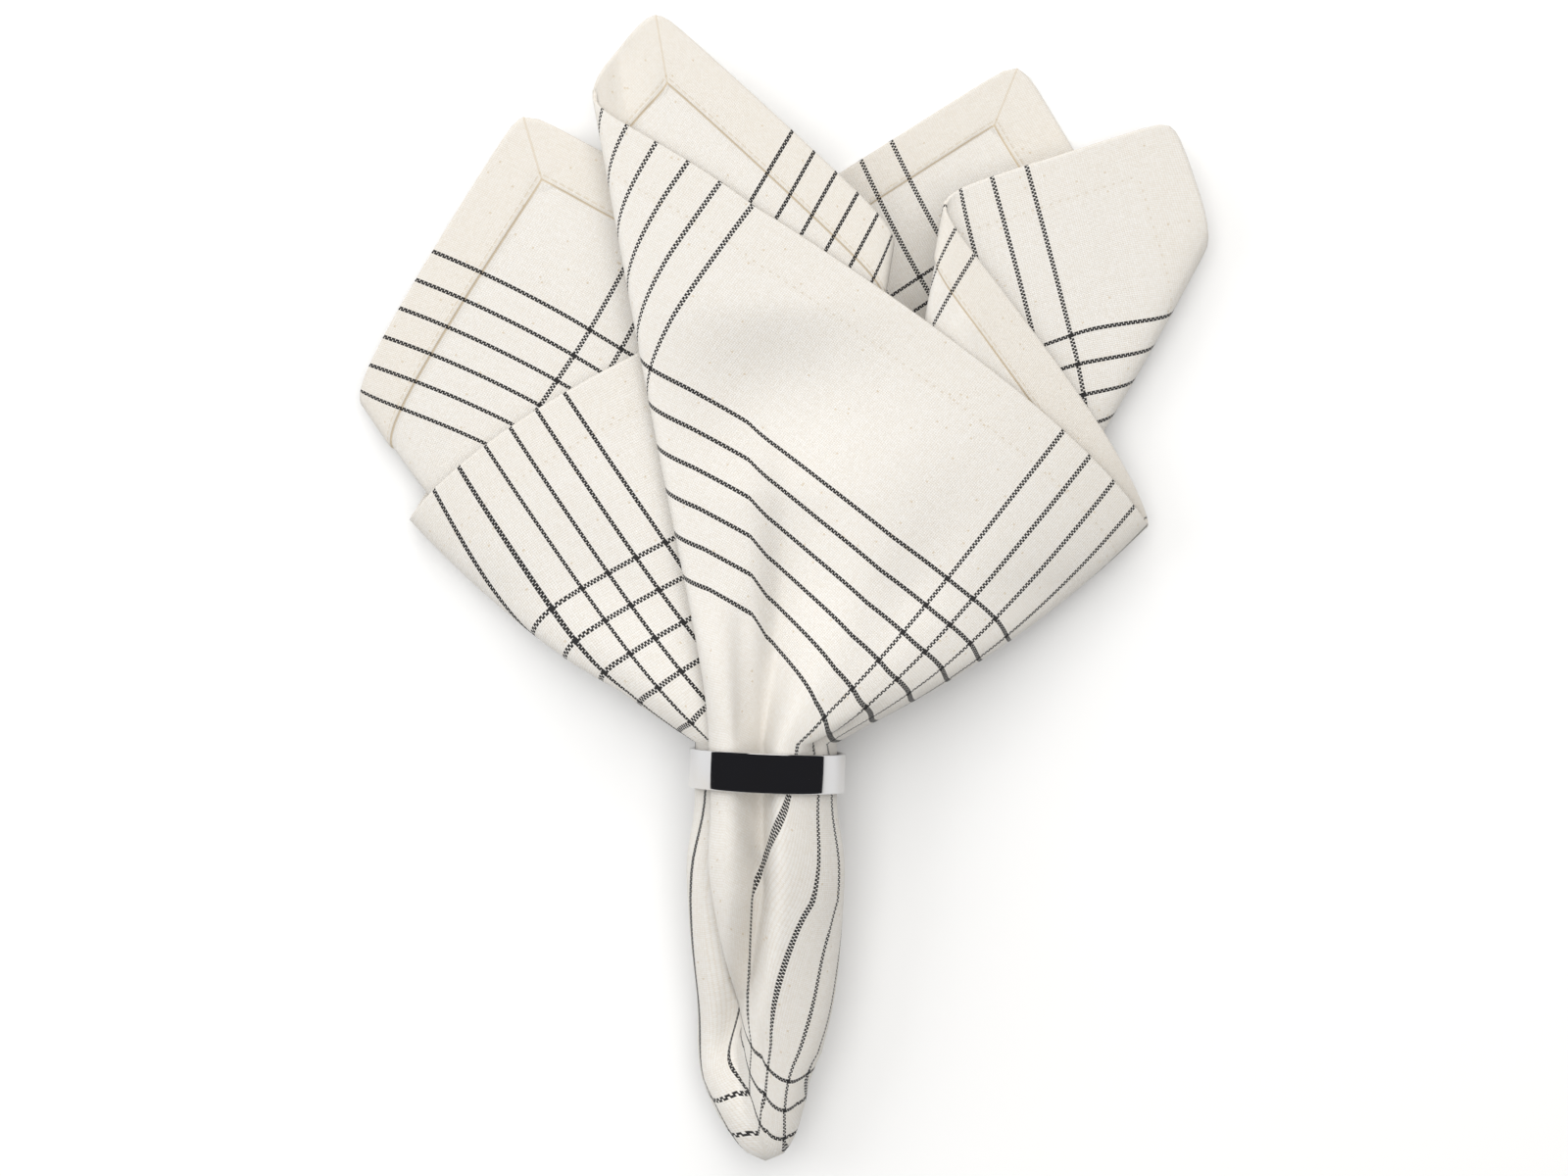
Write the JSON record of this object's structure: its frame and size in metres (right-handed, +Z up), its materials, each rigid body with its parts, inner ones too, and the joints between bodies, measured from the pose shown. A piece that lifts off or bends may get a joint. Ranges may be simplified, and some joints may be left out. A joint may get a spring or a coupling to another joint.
{
  "type": "cloth napkin in a napkin ring",
  "caption": "Square woven cloth napkin with a thin-line check, pinched at its centre, drawn through a polished metal ring and fanned out flat on the table.",
  "frame": {"origin": "the ring's foot: the middle of the flat facet of the band that stands on the table", "axes": "+Y along the ring's axis from the tail to the fan, +X to the right across the fan, +Z up from the table"},
  "size_m": [0.241, 0.3252, 0.0439],
  "materials": {
    "cloth": "plain-woven linen and cotton, ivory with thin charcoal lines",
    "polished_metal": "mirror polished"
  },
  "bodies": {
    "root": {"napkin": "cloth", "ring": "polished_metal"}
  },
  "joints": []
}
